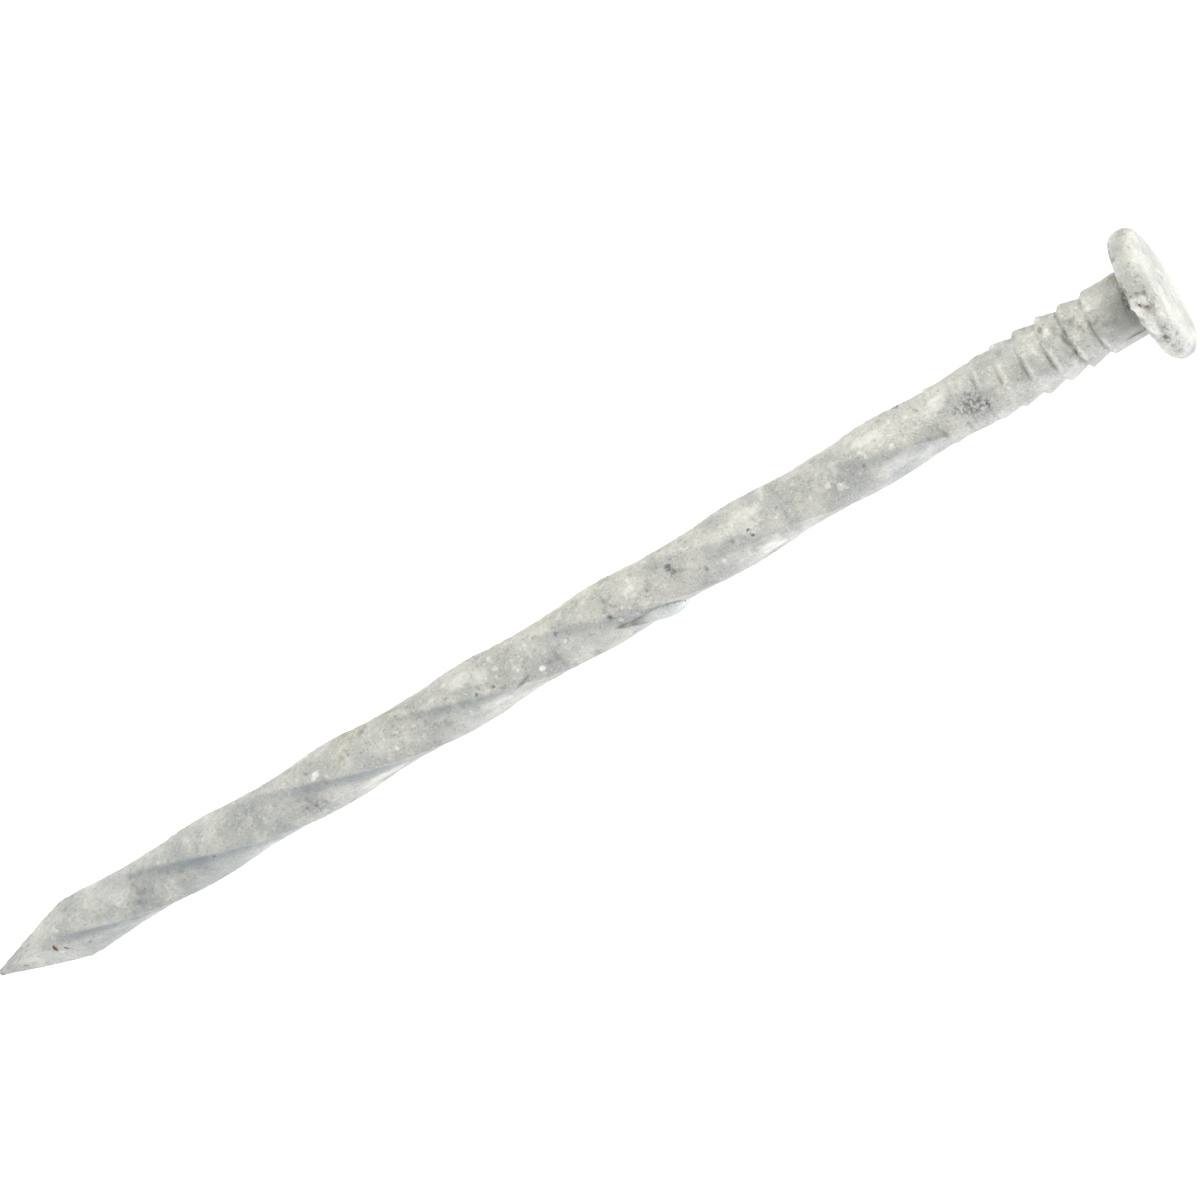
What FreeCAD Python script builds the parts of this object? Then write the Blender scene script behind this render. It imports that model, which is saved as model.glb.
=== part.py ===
import FreeCAD, Part
import math
import os
import Sketcher
from FreeCAD import Placement, Rotation, Vector

# Spiral-shank nail with a flat round head, hot-dip galvanised. Millimetres.
# +Z runs up the nail from the point to the head. The origin is the centre of the
# head's bearing plane, where the finished underside meets the timber, so the point
# is at z = -nail_length. The twist is right-handed.

PARTS_FOLDER = "parts"
SHEET = "Sizes"

# ---------------------------------------------------------------- driving sizes
# Steel sizes are bare steel; the zinc adds its coat thickness to each of them.
# Lengths measured from the bearing plane are of the finished, coated nail.
SIZES = {
    "nail_length": 76.2,  # bearing plane to point, the 3 inch trade size
    "coat": 0.08,  # zinc thickness, all over
    "flat_width": 3.07,  # square wire, across the middles of its swollen flats
    "side_share": 0.84,  # swell radius of the wire's four sides over the flat width
    "edge_share": 0.10,  # rounding of the wire's four edges over the flat width
    "twist_pitch": 36.2,  # shank length for one full turn
    "turn_at_head": 25.2,  # degrees the section stands turned at the bearing plane
    "head_dia": 7.54,
    "head_thick": 1.42,
    "head_shift": 0.13,  # the head was upset this far off the wire's axis, along +X
    "head_rim": 0.60,  # rounding of both rims of the head
    "head_fillet": 0.35,  # blend from the neck into the head's underside
    "neck_over": 0.59,  # neck diameter over the flat width
    "neck_length": 2.68,  # plain round neck below the bearing plane
    "ring_pitch": 1.40,  # step from one grip ring to the next
    "ring_step": 0.25,  # length over which each ring rises from its root to its crest
    "stock_over": 0.08,  # gripped length across its flats, over the flat width
    "stock_side_share": 2.6,  # the gripped length's sides and edges, as side_share
    "stock_edge_share": 0.13,  # and edge_share
    "root_over": 0.05,  # diameter of the neck's own root over the flat width
    "root_rise": 0.02,  # each ring's root bites this much less into the edges
    "crest_1_over": 0.64,  # crests over the flat width, from the neck down
    "crest_2_over": 0.74,
    "crest_3_over": 0.70,
    "crest_4_over": 0.56,
    "crest_5_over": 0.48,
    "crest_6_over": 0.45,
    "crest_7_over": 0.42,
    "facet_angle": 14.1,  # degrees between each point facet and the nail's axis
    "facet_spread": 34.2,  # degrees each facet's normal is turned out of the X axis
    "facet_start": 0.10,  # facet's distance from the axis at the steel's very tip
    "run_length": 3.3,  # tapered part of the frozen zinc run
    "run_radius": 0.46,  # round nose of the run
    "run_tail_radius": 0.12,
    "run_height": 30.2,  # nose of the run, below the bearing plane
    "pimple_dia": 0.50,  # grain of dross on the coat
    "pimple_sink": 0.05,  # how far a grain's centre lies under the coat's surface
}

RING_COUNT = 7  # the first goes all round, the others only stand on the four edges

# Dross grains: distance below the bearing plane as a share of the nail's length,
# and which of the four flats (in quarter turns) each one froze on.
PIMPLES = {
    "a": (0.205, 2),
    "b": (0.247, 1),
    "c": (0.338, 0),
    "d": (0.446, 0),
    "e": (0.521, 1),
    "f": (0.604, 2),
    "g": (0.733, 3),
    "h": (0.826, 0),
}

RUN_FLAT = 3  # the flat the zinc run froze on, in quarter turns

POINT_CLEARANCE = 3.0  # how far each facet cut runs past the steel on every side
POINT_CUT_HEIGHT = 12.0  # each facet cut starts this far above the point


def size(name):
    """Expression for one driving size."""
    return f"{SHEET}.{name}"


def make_sheet(doc):
    """Write every driving size into the spreadsheet, one aliased cell each."""
    sheet = doc.addObject("Spreadsheet::Sheet", SHEET)
    for row, (name, value) in enumerate(SIZES.items(), start=1):
        sheet.set(f"A{row}", name)
        sheet.set(f"B{row}", str(value))
        sheet.setAlias(f"B{row}", name)
    doc.recompute()
    return sheet


def value(sheet, expression):
    """Number that an expression works out to with the present sizes."""
    return float(sheet.evalExpression(expression))


def round_of_wire(over, skin):
    """Radius of a round made from the wire, from its diameter over the flat width."""
    return f"({size('flat_width')} + {size(over)}) / 2 + {skin}"


# ---------------------------------------------------------------- sketch helpers
def origin_plane(body, role):
    """The body's own origin plane with this role."""
    return next(f for f in body.Origin.OriginFeatures if f.Role == role)


def new_sketch(body, name, role):
    """Empty sketch on one of the body's origin planes."""
    sketch = body.newObject("Sketcher::SketchObject", name)
    sketch.AttachmentSupport = [(origin_plane(body, role), "")]
    sketch.MapMode = "FlatFace"
    return sketch


def bind(sketch, index, expression):
    """Drive one sketch constraint from the spreadsheet."""
    sketch.setExpression(f"Constraints[{index}]", expression)


def outline(body, sheet, name, role, corners):
    """Closed outline whose every corner is placed by two expressions."""
    sketch = new_sketch(body, name, role)
    points = [
        Vector(value(sheet, x), value(sheet, y), 0)
        for x, y in corners
    ]
    count = len(points)
    for i in range(count):
        sketch.addGeometry(Part.LineSegment(points[i], points[(i + 1) % count]))
    for i in range(count):
        sketch.addConstraint(Sketcher.Constraint("Coincident", i, 2, (i + 1) % count, 1))
    for i, (x, y) in enumerate(corners):
        across = Sketcher.Constraint("DistanceX", -1, 1, i, 1, points[i].x)
        bind(sketch, sketch.addConstraint(across), x)
        along = Sketcher.Constraint("DistanceY", -1, 1, i, 1, points[i].y)
        bind(sketch, sketch.addConstraint(along), y)
    return sketch


def swollen_square(body, sheet, name, half, swell, edge):
    """Square section with swollen sides and rounded edges, centred on the axis."""
    sketch = new_sketch(body, name, "XY_Plane")
    h = value(sheet, half)
    r = value(sheet, swell)
    e = value(sheet, edge)
    back = r - h
    # The edge's centre (c, c) lies r - e from the side's centre (-back, 0).
    c = (math.sqrt(2 * (r - e) ** 2 - back**2) - back) / 2
    join = math.atan2(c, c + back)
    up = Vector(0, 0, 1)
    for quarter in range(4):
        turn = Rotation(up, 90 * quarter)
        first = quarter * math.pi / 2
        side = Part.Circle(turn.multVec(Vector(-back, 0, 0)), up, r)
        corner = Part.Circle(turn.multVec(Vector(c, c, 0)), up, e)
        sketch.addGeometry(Part.ArcOfCircle(side, first - join, first + join))
        sketch.addGeometry(Part.ArcOfCircle(corner, first + join, first + math.pi / 2 - join))
    for quarter in range(4):
        side = 2 * quarter
        corner = side + 1
        following = (side + 2) % 8
        sketch.addConstraint(Sketcher.Constraint("Tangent", side, 2, corner, 1))
        sketch.addConstraint(Sketcher.Constraint("Tangent", corner, 2, following, 1))
        bind(sketch, sketch.addConstraint(Sketcher.Constraint("Radius", side, r)), swell)
        bind(sketch, sketch.addConstraint(Sketcher.Constraint("Radius", corner, e)), edge)
    middle = 3
    for side, kind, axis, sign in (
        (0, "DistanceX", -1, -1),
        (2, "DistanceY", -2, -1),
        (4, "DistanceX", -1, 1),
        (6, "DistanceY", -2, 1),
    ):
        sketch.addConstraint(Sketcher.Constraint("PointOnObject", side, middle, axis))
        away = Sketcher.Constraint(kind, -1, 1, side, middle, sign * back)
        reach = f"({swell}) - ({half})"
        bind(sketch, sketch.addConstraint(away), reach if sign > 0 else f"-({reach})")
    return sketch


# ---------------------------------------------------------------- the nail's form
# The bare steel and the outside of its zinc share one form. skin is the expression
# for how far outside the bare steel the surface lies: zero, or the coat.


def turn_at(level):
    """Degrees the shank's section stands turned at a level (an expression)."""
    return f"{size('turn_at_head')} + 360 * ({level}) / {size('twist_pitch')}"


def twisted_bar(doc, body, sheet, name, foot, top, section_sizes):
    """Square bar carried up the axis while it turns with the twist.

    section_sizes are the section's half width, swell radius and edge rounding.
    """
    twist = doc.addObject("Part::Helix", f"{name}_twist_line")
    twist.setExpression("Pitch", size("twist_pitch"))
    twist.setExpression("Height", f"({top}) - ({foot})")
    twist.setExpression("Radius", size("head_dia"))
    twist.setExpression("Placement.Base.z", foot)

    axis = new_sketch(body, f"{name}_axis", "XZ_Plane")
    low = Vector(0, value(sheet, foot), 0)
    high = Vector(0, value(sheet, top), 0)
    axis.addGeometry(Part.LineSegment(low, high))
    for end, place, level in ((1, low, foot), (2, high, top)):
        axis.addConstraint(Sketcher.Constraint("PointOnObject", 0, end, -2))
        height = axis.addConstraint(Sketcher.Constraint("DistanceY", -1, 1, 0, end, place.y))
        bind(axis, height, level)

    section = swollen_square(body, sheet, f"{name}_section", *section_sizes)
    section.setExpression("AttachmentOffset.Base.z", foot)
    section.setExpression("AttachmentOffset.Rotation.Angle", turn_at(foot))
    doc.recompute()

    bar = body.newObject("PartDesign::AdditivePipe", name)
    bar.Profile = (section, [""])
    bar.Spine = (axis, ["Edge1"])
    bar.Mode = "Auxiliary"
    bar.AuxiliarySpine = (twist, ["Edge1"])
    bar.AuxiliaryCurvilinear = True
    body.Tip = bar


def twisted_shank(doc, body, sheet, tag, skin):
    """The wire itself, twisted from the point up to the middle of the neck."""
    twisted_bar(
        doc,
        body,
        sheet,
        f"{tag}_twisted_shank",
        f"-{size('nail_length')} + {size('coat')} - {skin}",
        f"-{size('neck_length')} / 2",
        (
            f"{size('flat_width')} / 2 + {skin}",
            f"{size('side_share')} * {size('flat_width')} + {skin}",
            f"{size('edge_share')} * {size('flat_width')} + {skin}",
        ),
    )


def point_facets(body, sheet, tag, skin):
    """Four flat facets pinched on the end: two pairs, one each side of the X axis."""
    point = f"-{size('nail_length')} + {size('coat')} - {skin}"
    slope = f"tan({size('facet_angle')} * 1 deg)"
    start = f"{size('facet_start')} + {skin} / cos({size('facet_angle')} * 1 deg)"
    foot = f"{point} - {POINT_CLEARANCE}"
    top = f"{point} + {POINT_CUT_HEIGHT}"
    inner_foot = f"{start} - {POINT_CLEARANCE} * {slope}"
    inner_top = f"{start} + {POINT_CUT_HEIGHT} * {slope}"
    outer = f"{inner_top} + {POINT_CLEARANCE}"
    for pair, spread in (("right", size("facet_spread")), ("left", f"-{size('facet_spread')}")):
        for side, sign in (("near", ""), ("far", "-")):
            face = outline(
                body,
                sheet,
                f"{tag}_{pair}_{side}_facet_side",
                "XZ_Plane",
                [
                    (f"{sign}({inner_foot})", foot),
                    (f"{sign}({outer})", foot),
                    (f"{sign}({outer})", top),
                    (f"{sign}({inner_top})", top),
                ],
            )
            face.AttachmentOffset = Placement(Vector(0, 0, 0), Rotation(Vector(0, 1, 0), 1))
            face.setExpression("AttachmentOffset.Rotation.Angle", spread)
            facet = body.newObject("PartDesign::Pocket", f"{tag}_{pair}_{side}_facet")
            facet.Profile = face
            facet.Type = "Length"
            facet.SideType = "Symmetric"
            facet.setExpression("Length", f"4 * {size('head_dia')}")
            face.Visibility = False
            body.Tip = facet


def ring_foot(number, skin):
    """Level of a ring's foot, counted down from the neck's own foot, number 0."""
    lift = f"{size('coat')} - {skin}"
    return f"-{size('neck_length')} - {number} * {size('ring_pitch')} + {lift}"


def ring_root(number, skin):
    """Root radius at a ring's foot."""
    return f"{round_of_wire('root_over', skin)} + {number} * {size('root_rise')}"


def gripped_stock(doc, body, sheet, tag, skin):
    """Wider, squarer length of the wire that the gripping dies squeezed out."""
    twisted_bar(
        doc,
        body,
        sheet,
        f"{tag}_gripped_stock",
        ring_foot(RING_COUNT, skin),
        f"{ring_foot(1, skin)} + {size('ring_step')}",
        (
            f"({size('flat_width')} + {size('stock_over')}) / 2 + {skin}",
            f"{size('stock_side_share')} * {size('flat_width')} + {skin}",
            f"{size('stock_edge_share')} * {size('flat_width')} + {skin}",
        ),
    )


def edge_rings(body, sheet, tag, skin):
    """Saw teeth bitten into the four edges of the gripped length."""
    outer = size("head_dia")
    lowest = ring_foot(RING_COUNT, skin)
    above = f"{ring_foot(1, skin)} + {size('ring_pitch')}"
    corners = [(outer, lowest), (ring_root(RING_COUNT, skin), lowest)]
    for number in range(RING_COUNT, 1, -1):
        crest = round_of_wire(f"crest_{number}_over", skin)
        corners.append((crest, f"{ring_foot(number, skin)} + {size('ring_step')}"))
        corners.append((ring_root(number - 1, skin), ring_foot(number - 1, skin)))
    corners += [(ring_root(1, skin), above), (outer, above)]
    profile = outline(body, sheet, f"{tag}_tooth_profile", "XZ_Plane", corners)
    teeth = body.newObject("PartDesign::Groove", f"{tag}_edge_rings")
    teeth.Profile = profile
    teeth.ReferenceAxis = (profile, ["V_Axis"])
    teeth.Angle = 360
    body.Tip = teeth


def neck(body, sheet, tag, skin):
    """Plain round neck and, at its foot, the one grip ring that goes all round."""
    step = size("ring_step")
    radius = round_of_wire("neck_over", skin)
    inside_head = f"{size('coat')} + {size('head_thick')} / 2"
    corners = [
        ("0", ring_foot(1, skin)),
        (ring_root(1, skin), ring_foot(1, skin)),
        (round_of_wire("crest_1_over", skin), f"{ring_foot(1, skin)} + {step}"),
        (ring_root(0, skin), ring_foot(0, skin)),
        (radius, f"{ring_foot(0, skin)} + {step}"),
        (radius, inside_head),
        ("0", inside_head),
    ]
    turned(body, sheet, f"{tag}_neck", corners)


def head(body, sheet, tag, skin):
    """Flat round head, square-rimmed until its edges are rounded."""
    rim = f"{size('head_dia')} / 2 + {skin}"
    underside = f"{size('coat')} - {skin}"
    top = f"{size('coat')} + {size('head_thick')} + {skin}"
    corners = [("0", underside), (rim, underside), (rim, top), ("0", top)]
    disc = turned(body, sheet, f"{tag}_head", corners)
    disc.Profile[0].setExpression("AttachmentOffset.Base.x", size("head_shift"))
    return disc


def turned(body, sheet, name, corners):
    """Solid of revolution with this outline."""
    profile = outline(body, sheet, f"{name}_profile", "XZ_Plane", corners)
    solid = body.newObject("PartDesign::Revolution", name)
    solid.Profile = profile
    solid.ReferenceAxis = (profile, ["V_Axis"])
    solid.Angle = 360
    body.Tip = solid
    return solid


def round_edges(doc, body, sheet, name, base, radius, level, fillet):
    """Blend the full circle of this radius at this level into its two faces."""
    doc.recompute()
    want_radius = value(sheet, radius)
    want_level = value(sheet, level)
    names = []
    for i, edge in enumerate(base.Shape.Edges, start=1):
        curve = edge.Curve
        if not isinstance(curve, Part.Circle):
            continue
        same_size = abs(curve.Radius - want_radius) < 1e-4
        if same_size and abs(curve.Center.z - want_level) < 1e-4:
            names.append(f"Edge{i}")
    blend = body.newObject("PartDesign::Fillet", name)
    blend.Base = (base, names)
    blend.setExpression("Radius", fillet)
    body.Tip = blend
    doc.recompute()
    return blend


def nail_form(doc, sheet, tag, skin):
    """One solid nail form, its surface the given skin outside the bare steel."""
    body = doc.addObject("PartDesign::Body", tag)
    gripped_stock(doc, body, sheet, tag, skin)
    twisted_shank(doc, body, sheet, tag, skin)
    edge_rings(body, sheet, tag, skin)
    point_facets(body, sheet, tag, skin)
    neck(body, sheet, tag, skin)
    last = head(body, sheet, tag, skin)

    rim = f"{size('head_dia')} / 2 + {skin}"
    shaft = round_of_wire("neck_over", skin)
    underside = f"{size('coat')} - {skin}"
    top = f"{size('coat')} + {size('head_thick')} + {skin}"
    rim_radius = f"{size('head_rim')} + {skin}"
    inner_radius = f"{size('head_fillet')} - {skin}"
    last = round_edges(doc, body, sheet, f"{tag}_top_rim", last, rim, top, rim_radius)
    last = round_edges(doc, body, sheet, f"{tag}_under_rim", last, rim, underside, rim_radius)
    round_edges(doc, body, sheet, f"{tag}_neck_blend", last, shaft, underside, inner_radius)
    return body


# ---------------------------------------------------------------- zinc on the nail
def on_flat(item, level, flat, height):
    """Stand an item on one flat of the coat, height above it, at a level."""
    reach = f"({size('flat_width')} / 2 + {size('coat')} + {height})"
    angle = f"({turn_at(level)} + 90 * {flat}) * 1 deg"
    item.setExpression("Placement.Base.x", f"{reach} * cos({angle})")
    item.setExpression("Placement.Base.y", f"{reach} * sin({angle})")
    item.setExpression("Placement.Base.z", level)


def cut_clear(doc, name, item, tool):
    """The item with whatever lies inside the tool taken away."""
    cut = doc.addObject("Part::Cut", name)
    cut.Base = item
    cut.Tool = tool
    return cut


def zinc_run(doc, outside):
    """Frozen run: a round nose towards the head and a tail thinning to the point."""
    nose_level = f"-{size('run_height')}"
    tail_level = f"-{size('run_height')} - {size('run_length')}"
    middle = f"-{size('run_height')} - {size('run_length')} / 2"
    nose = doc.addObject("Part::Sphere", "run_nose")
    nose.setExpression("Radius", size("run_radius"))
    tail = doc.addObject("Part::Cone", "run_tail")
    tail.setExpression("Radius1", size("run_tail_radius"))
    tail.setExpression("Radius2", size("run_radius"))
    tail.setExpression("Height", size("run_length"))
    for item, level in ((nose, nose_level), (tail, tail_level)):
        on_flat(item, middle, RUN_FLAT, "0")
        item.setExpression("Placement.Base.z", level)
    drop = doc.addObject("Part::Fuse", "run_drop")
    drop.Base = tail
    drop.Tool = nose
    return cut_clear(doc, "zinc_run", drop, outside)


def dross_pimples(doc, outside):
    """Small round grains, each sunk a little way into the flat it froze on."""
    grains = []
    for letter, (share, flat) in PIMPLES.items():
        grain = doc.addObject("Part::Sphere", f"grain_{letter}")
        grain.setExpression("Radius", f"{size('pimple_dia')} / 2")
        on_flat(grain, f"-{share} * {size('nail_length')}", flat, f"-{size('pimple_sink')}")
        grains.append(grain)
    together = doc.addObject("Part::MultiFuse", "grains")
    together.Shapes = grains
    return cut_clear(doc, "dross_pimples", together, outside)


# ---------------------------------------------------------------- build and export
def check(doc, pieces):
    """Stop on any object in error and on any piece that isn't a sound solid."""
    for item in doc.Objects:
        bad = {"Invalid", "Error"} & set(item.State)
        if bad:
            raise RuntimeError(f"{item.Name}: {sorted(bad)}")
    for piece in pieces:
        shape = piece.Shape
        if shape.isNull() or not shape.isValid() or not shape.Solids:
            raise RuntimeError(f"{piece.Label}: not a valid solid")
        print(f"{piece.Label}: {len(shape.Solids)} solids, {shape.Volume:.4f} mm3")


def main():
    """Build every piece, check them all and write one STEP file for each."""
    os.makedirs(PARTS_FOLDER, exist_ok=True)
    doc = FreeCAD.newDocument("spiral_nail")
    sheet = make_sheet(doc)

    steel = nail_form(doc, sheet, "steel_nail", "0")
    outside = nail_form(doc, sheet, "coat_outside", size("coat"))
    coat = cut_clear(doc, "zinc_coat", outside, steel)
    pieces = [steel, coat, zinc_run(doc, outside), dross_pimples(doc, outside)]

    doc.recompute()
    check(doc, pieces)
    for piece in pieces:
        piece.Shape.exportStep(os.path.join(PARTS_FOLDER, f"{piece.Label}.step"))


main()
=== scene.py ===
"""Spiral-shank nail, hot-dip galvanised: its looks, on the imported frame.

Lengths in this file are written in millimetres and bearings in degrees, the way the
nail would be drawn, and turned into metres once, where each mesh is made. The nail
stands on its point with the head up. Level is the height above the head's bearing
plane, so every place on the shank has a negative level. Bearing is the angle round
the nail, counted from +X towards +Y.
"""

import logging
import math
import random
from dataclasses import dataclass, field
from enum import Enum
from typing import Any

import bmesh
import bpy
import numpy as np
from mathutils import Matrix, Vector, noise


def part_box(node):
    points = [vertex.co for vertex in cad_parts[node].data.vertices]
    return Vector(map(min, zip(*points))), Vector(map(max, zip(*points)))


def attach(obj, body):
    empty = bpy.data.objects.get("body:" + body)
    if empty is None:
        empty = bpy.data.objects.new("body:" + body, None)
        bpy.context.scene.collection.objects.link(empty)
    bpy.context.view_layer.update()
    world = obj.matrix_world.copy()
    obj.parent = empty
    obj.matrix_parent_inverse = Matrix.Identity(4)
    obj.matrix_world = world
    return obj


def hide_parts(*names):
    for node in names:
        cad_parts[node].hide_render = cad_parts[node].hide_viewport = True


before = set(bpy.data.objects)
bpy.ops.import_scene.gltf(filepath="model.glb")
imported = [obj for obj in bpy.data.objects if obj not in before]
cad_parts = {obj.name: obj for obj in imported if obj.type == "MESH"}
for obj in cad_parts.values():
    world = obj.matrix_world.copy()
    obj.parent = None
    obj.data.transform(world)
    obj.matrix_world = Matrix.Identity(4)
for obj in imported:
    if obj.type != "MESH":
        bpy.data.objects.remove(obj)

logging.basicConfig(level=logging.INFO, format="%(name)s: %(message)s")
log = logging.getLogger("nail")

MM = 0.001
CLEAR = 9.0  # a radius in mm that is past everything on the nail
SPOT_EDGE = (0.45, 1.15)  # a spot starts to fade and ends, as shares of its half size
MARK_FALL = 1.6  # how steeply a pimple or pit falls off past its half size


class Facing(Enum):
    """Which way a small mark on the zinc goes."""

    PROUD = 1.0
    SUNK = -1.0


class PaintedValue(Enum):
    """Names of the painted-on values that the zinc material reads: stains, painted shade and painted
    highlights.
    """

    SOOT_AND_SHADE = "soot_and_shade"
    RUST = "rust"
    PAINTED_HIGHLIGHT = "painted_highlight"
    WARM = "warm"
    HEIGHT = "height"
    CORNER_SHADE = "corner_shade"
    PAINTED_SHADE = "painted_shade"
    ROUGH = "rough"


# ------------------------------------------------------------------- sizes


@dataclass(frozen=True)
class SquareSizes:
    """Square section with swollen sides and rounded edges, over the zinc, in mm."""

    half: float
    swell: float
    edge: float

    def reach(self, off: np.ndarray) -> np.ndarray:
        """Distance from the axis to the section's outline.

        Args:
            off: degrees from the middle of the nearest flat, 0 to 45.

        Returns:
            The distances in mm.
        """
        turn = np.radians(off)
        back = self.swell - self.half
        centre = (math.sqrt(2 * (self.swell - self.edge) ** 2 - back**2) - back) / 2
        lean = math.atan2(centre, centre + back)
        join = math.atan2(self.swell * math.sin(lean), self.swell * math.cos(lean) - back)
        side = np.sqrt(self.swell**2 - (back * np.sin(turn)) ** 2) - back * np.cos(turn)
        across = centre * (np.cos(turn) - np.sin(turn))
        edge = centre * (np.cos(turn) + np.sin(turn)) + np.sqrt(np.maximum(self.edge**2 - across**2, 0))
        return np.where(turn < join, side, edge)


@dataclass(frozen=True)
class ShankSizes:
    """Twisted shank and its point, over the zinc, in mm and degrees."""

    length: float = 76.2
    wire: SquareSizes = SquareSizes(half=1.615, swell=2.659, edge=0.387)
    pitch: float = 36.2
    turn_at_head: float = 25.2
    facet_angle: float = 14.1
    facet_spread: float = 34.2
    facet_start: float = 0.182
    facet_blend: float = 0.04
    row_step: float = 0.08
    columns: int = 168
    ring_rows: int = 9


@dataclass(frozen=True)
class GripSizes:
    """Grip rings and plain neck under the head, over the zinc, in mm."""

    neck_radius: float = 1.91
    neck_length: float = 2.68
    pitch: float = 1.40
    step: float = 0.25
    stock: SquareSizes = SquareSizes(half=1.655, swell=8.06, edge=0.479)
    root: float = 1.64
    root_rise: float = 0.02
    crests: tuple[float, ...] = (1.935, 1.985, 1.965, 1.895, 1.855, 1.84, 1.825)
    swelling: float = 0.09
    wander: float = 0.08
    wander_size: float = 1.1
    flash_bearing: float = -36.0
    flash_height: float = 0.07
    flash_spread: float = 3.5
    flash_foot: float = -1.9
    flash_full: float = -1.2

    def foot(self, number: int) -> float:
        """Level of a ring's foot, counted down from the neck's own foot, number 0."""
        return -self.neck_length - number * self.pitch

    def root_at(self, number: int) -> float:
        """Root radius at a ring's foot. The roots rise a little away from the head."""
        return self.root + number * self.root_rise


@dataclass(frozen=True)
class HeadSizes:
    """Flat round head, over the zinc, in mm and degrees."""

    radius: float = 3.85
    thickness: float = 1.58
    rim: float = 0.68
    under_rim: float = 0.78
    neck_blend: float = 0.27
    dome: float = 0.04
    shift: float = 0.13
    tilt: float = 0.6
    lift: float = 0.03
    flare: float = 0.5
    side: tuple[float, float] = (0.82, 0.86)
    lifted: tuple[float, float] = (0.474, 0.948)
    row_step: float = 0.08
    arc_rows: int = 14


@dataclass(frozen=True)
class SkinRelief:
    """How the frozen zinc departs from the smooth form, in mm."""

    sag_size: float = 5.0
    sag_height: float = 0.028
    lump_size: float = 0.95
    lump_height: float = 0.034
    pebble_size: float = 0.36
    pebble_height: float = 0.026
    grit_size: float = 0.2
    grit_height: float = 0.014
    wrinkle_size: float = 0.42
    wrinkle_height: float = 0.034
    wrinkle_width: float = 0.22
    crust_size: float = 0.45
    crust_height: float = 0.07
    crumb_size: float = 0.22
    crumb_height: float = 0.04
    patch_size: float = 3.2
    patch_ramp: tuple[float, float] = (-0.5, 0.6)
    rough_side: float = -130.0
    rough_side_share: float = 0.3
    least_pebble: float = 0.4
    least_grit: float = 0.3
    least_wrinkle: float = 0.3
    wrinkle_breaks: tuple[float, float] = (-0.15, 0.25)
    deepest: float = -0.06
    deepest_mark: float = -0.075
    deepest_on_head: float = -0.03
    full_height: float = 0.045


@dataclass(frozen=True)
class EdgeSizes:
    """Bead on each twisted edge and hollow beside it, in mm and degrees."""

    bead: float = 0.022
    bead_spread: float = 4.0
    hollow: float = 0.03
    hollow_past: float = 12.0
    hollow_spread: float = 7.0
    foot: tuple[float, float] = (-72.5, -70.0)
    top: tuple[float, float] = (-12.5, -11.5)


@dataclass(frozen=True)
class PaintedShadeSizes:
    """Painted shade beside the twisted edges, near the point and on the head.

    Each pair is where a ramp starts and ends: degrees past the edge for rise and fall,
    and levels in mm for the others. Bearings and spreads are in degrees, and the rest
    are strengths from 0 to 1.
    """

    rise: tuple[float, float] = (0.0, 7.0)
    fall: tuple[float, float] = (8.0, 34.0)
    near_bearing: float = -75.0
    near_spread: float = 48.0
    far_bearing: float = 105.0
    far_spread: float = 50.0
    far_share: float = 0.6
    foot: tuple[float, float] = (-72.5, -70.0)
    top: tuple[float, float] = (-12.0, -8.0)
    fade: tuple[float, float] = (-48.0, -22.0)
    fade_share: float = 0.75
    tip: tuple[float, float] = (-44.0, -64.0)
    tip_share: float = 0.42
    crown: tuple[float, float] = (-0.1, 0.5)
    crown_share: float = 0.1
    uneven_size: float = 1.1
    uneven_share: float = 0.9


@dataclass(frozen=True)
class RingLightSizes:
    """Painted shade in the feet of the rings and in the corner under the head, and painted highlights on the
    ring crests, in mm and degrees.
    """

    edge: tuple[float, float] = (16.0, 38.0)
    bearing: float = -68.0
    spread: float = 32.0
    least: float = 0.45
    full_lip: float = 0.12
    full_seam: float = 0.25
    seam_share: float = 0.5
    seam_rings: int = 2
    dark_rise: float = 0.04
    highlight_rise: float = 0.08
    width: float = 0.1
    shine: float = 0.5
    corner_height: float = 1.5
    corner_radius: float = 2.25
    corner_bearing: float = -82.0
    corner_spread: float = 42.0


@dataclass(frozen=True)
class ScatterSizes:
    """Small pimples and pits all over, each with half sizes in mm."""

    count: int = 520
    seed: int = 7
    proud_share: float = 0.62
    half_size: tuple[float, float] = (0.07, 0.17)
    steepness: tuple[float, float] = (0.14, 0.3)
    levels: tuple[float, float] = (-75.0, 1.5)


@dataclass(frozen=True)
class Spot:
    """One mark on the shank: where it is, its half sizes and how strong it is.

    For a pimple or pit the strength is its height in mm. Lean is how far the mark
    shifts round the nail for each mm up it.
    """

    level: float
    bearing: float
    along: float
    around: float
    strength: float = 1.0
    lean: float = 0.0


# ------------------------------------------------------------------- helpers


def linear(code: str) -> tuple[float, float, float, float]:
    """Linear colour of an sRGB hex code.

    Args:
        code: six hex digits, with or without a leading hash.

    Returns:
        Red, green, blue and an alpha of one, in linear light.
    """
    digits = code.lstrip("#")
    parts = [int(digits[i : i + 2], 16) / 255 for i in (0, 2, 4)]
    lit = [v / 12.92 if v <= 0.04045 else ((v + 0.055) / 1.055) ** 2.4 for v in parts]
    return (lit[0], lit[1], lit[2], 1.0)


def smooth_step(low: float, high: float, value: np.ndarray) -> np.ndarray:
    """Soft ramp from 0 at low to 1 at high.

    Args:
        low: value where the ramp starts.
        high: value where it ends.
        value: values to ramp.

    Returns:
        An array shaped like value.
    """
    share = np.clip((value - low) / (high - low), 0.0, 1.0)
    return share * share * (3.0 - 2.0 * share)


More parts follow.
